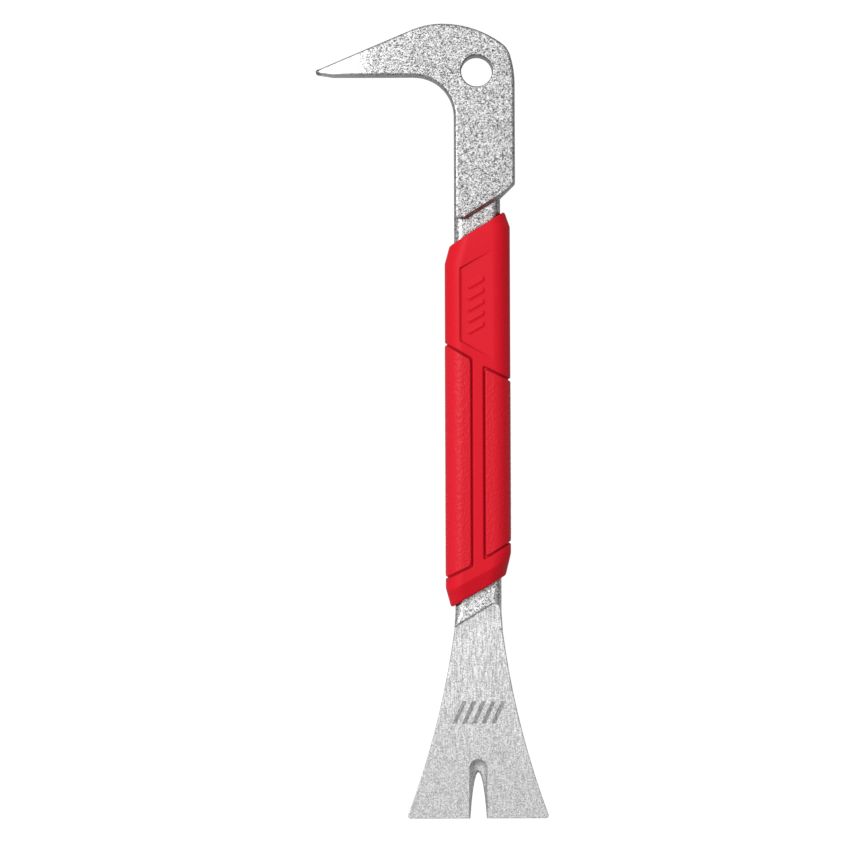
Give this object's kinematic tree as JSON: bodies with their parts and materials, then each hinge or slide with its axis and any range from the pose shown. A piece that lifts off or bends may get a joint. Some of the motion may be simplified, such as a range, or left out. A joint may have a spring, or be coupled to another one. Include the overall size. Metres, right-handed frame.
{
  "type": "pry bar",
  "caption": "Flat forged pry bar with a hooked claw head, a hanging hole, a flared blade with a nail slot and a moulded two-part grip.",
  "frame": {"origin": "bottom centre of the whole tool's box: the tool lies on the flat back of its grip, and the origin is on that plane under the middle of its length and width", "axes": "+Y along the tang from the blade to the head, +Z out of the face of the tool, +X to the side away from the claw"},
  "size_m": [0.0736, 0.254, 0.018],
  "materials": {
    "steel": "satin, bead-blasted with a fine speckle, ground in line with the bar on the blade",
    "grip_smooth": "smooth satin red rubber",
    "grip_textured": "fine stippled red rubber"
  },
  "bodies": {
    "root": {"forged_bar": "steel", "grip_frame": "grip_smooth", "left_grip_panel": "grip_textured", "right_grip_panel": "grip_textured"}
  },
  "joints": []
}
